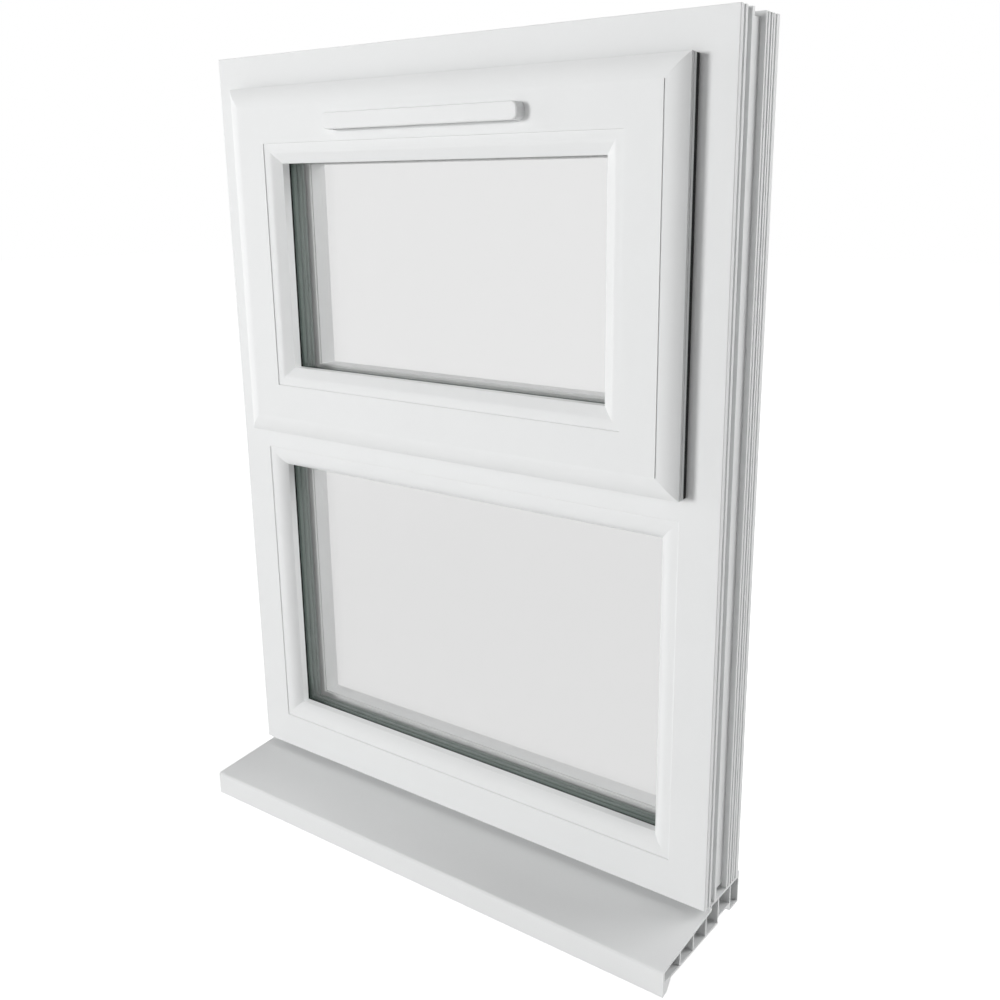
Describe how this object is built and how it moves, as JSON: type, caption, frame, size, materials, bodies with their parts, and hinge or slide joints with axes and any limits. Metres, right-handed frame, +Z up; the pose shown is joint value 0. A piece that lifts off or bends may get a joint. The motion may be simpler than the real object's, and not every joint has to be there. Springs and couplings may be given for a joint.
{
  "type": "top-hung window",
  "caption": "White plastic window with a top-hung opening sash on friction stays over a fixed pane, a trickle vent in the sash head and a projecting hollow sill.",
  "frame": {"origin": "middle of the width, in the plane of the outdoor face of the outer frame, on the bedding face under the sill", "axes": "+X to the right seen from outdoors, +Y from outdoors to the room, +Z up"},
  "size_m": [0.61, 0.1495, 0.8326],
  "materials": {
    "white_upvc": "satin extruded white",
    "glass": "clear float glass",
    "spacer_aluminium": "mill finish",
    "black_rubber": "matt black",
    "packer_plastic": "moulded",
    "stainless_steel": "stamped stainless steel",
    "plated_steel": "zinc plated",
    "zinc_casting": "die cast",
    "white_enamel": "white enamel"
  },
  "bodies": {
    "frame": {"frame_head": "white_upvc", "frame_bottom_rail": "white_upvc", "frame_jamb_left": "white_upvc", "frame_jamb_right": "white_upvc", "transom": "white_upvc", "sill": "white_upvc", "fixed_bead_left": "white_upvc", "fixed_bead_right": "white_upvc", "fixed_bead_top": "white_upvc", "fixed_bead_bottom": "white_upvc", "fixed_outer_pane": "glass", "fixed_inner_pane": "glass", "fixed_spacer_bar": "spacer_aluminium", "fixed_outer_gasket": "black_rubber", "fixed_inner_gasket": "black_rubber", "fixed_packers": "packer_plastic", "frame_inner_seal": "black_rubber", "stay_track_left": "stainless_steel", "stay_track_right": "stainless_steel", "stay_track_screws": "stainless_steel", "lock_keep_left": "zinc_casting", "lock_keep_right": "zinc_casting", "lock_keep_screws": "plated_steel"},
    "arm_left": {"stay_long_arm_left": "stainless_steel"},
    "sash": {"sash_head": "white_upvc", "sash_bottom_rail": "white_upvc", "sash_stile_left": "white_upvc", "sash_stile_right": "white_upvc", "sash_bead_left": "white_upvc", "sash_bead_right": "white_upvc", "sash_bead_top": "white_upvc", "sash_bead_bottom": "white_upvc", "sash_outer_pane": "glass", "sash_inner_pane": "glass", "sash_spacer_bar": "spacer_aluminium", "sash_outer_gasket": "black_rubber", "sash_inner_gasket": "black_rubber", "sash_packers": "packer_plastic", "sash_weather_seal": "black_rubber", "stay_sash_bar_left": "stainless_steel", "stay_sash_bar_right": "stainless_steel", "stay_sash_screws": "stainless_steel", "lock_face_strip": "plated_steel", "lock_gear_case": "plated_steel", "handle_base": "white_enamel", "handle_screws": "plated_steel", "vent_canopy": "white_upvc", "vent_body": "white_upvc"},
    "arm_right": {"stay_long_arm_right": "stainless_steel"},
    "link_left": {"stay_short_arm_left": "stainless_steel"},
    "link_right": {"stay_short_arm_right": "stainless_steel"},
    "handle": {"handle_lever": "white_enamel", "handle_spindle": "plated_steel", "lock_pinion": "plated_steel"},
    "drive_rod": {"lock_drive_rod": "plated_steel"},
    "vent_flap": {"vent_flap": "white_upvc"}
  },
  "joints": [
    {"name": "stay_arm_left", "type": "hinge", "parent": "frame", "child": "arm_left", "pos_m": [-0.258, 0.0128, 0.51], "axis": [1, 0, 0], "range_deg": [0, 19.46]},
    {"name": "sash_swing", "type": "hinge", "parent": "arm_left", "child": "sash", "pos_m": [-0.258, 0.0418, 0.7144], "axis": [-1, 0, 0], "range_deg": [0, 56.4]},
    {"name": "stay_arm_right", "type": "hinge", "parent": "frame", "child": "arm_right", "pos_m": [0.258, 0.0128, 0.51], "axis": [1, 0, 0], "range_deg": [0, 19.46]},
    {"name": "stay_link_left", "type": "hinge", "parent": "frame", "child": "link_left", "pos_m": [-0.261, 0.0093, 0.7183], "axis": [1, 0, 0], "range_deg": [0, 56.95]},
    {"name": "stay_link_right", "type": "hinge", "parent": "frame", "child": "link_right", "pos_m": [0.261, 0.0093, 0.7183], "axis": [1, 0, 0], "range_deg": [0, 56.95]},
    {"name": "handle_turn", "type": "hinge", "parent": "sash", "child": "handle", "pos_m": [0, 0.0475, 0.4692], "axis": [0, -1, 0], "range_deg": [0, 90]},
    {"name": "rod_slide", "type": "slide", "parent": "sash", "child": "drive_rod", "axis": [1, 0, 0], "range_m": [0, 0.02]},
    {"name": "vent_flap_turn", "type": "hinge", "parent": "sash", "child": "vent_flap", "pos_m": [0, 0.0542, 0.7401], "axis": [-1, 0, 0], "range_deg": [0, 40]}
  ],
  "couplings": [
    {"joint": "stay_arm_left", "follows": "sash_swing", "ratio": 0.34483},
    {"joint": "stay_arm_right", "follows": "sash_swing", "ratio": 0.34483},
    {"joint": "stay_link_left", "follows": "sash_swing", "ratio": 1.009},
    {"joint": "stay_link_right", "follows": "sash_swing", "ratio": 1.009},
    {"joint": "rod_slide", "follows": "handle_turn", "m_per_rad": 0.012732}
  ]
}
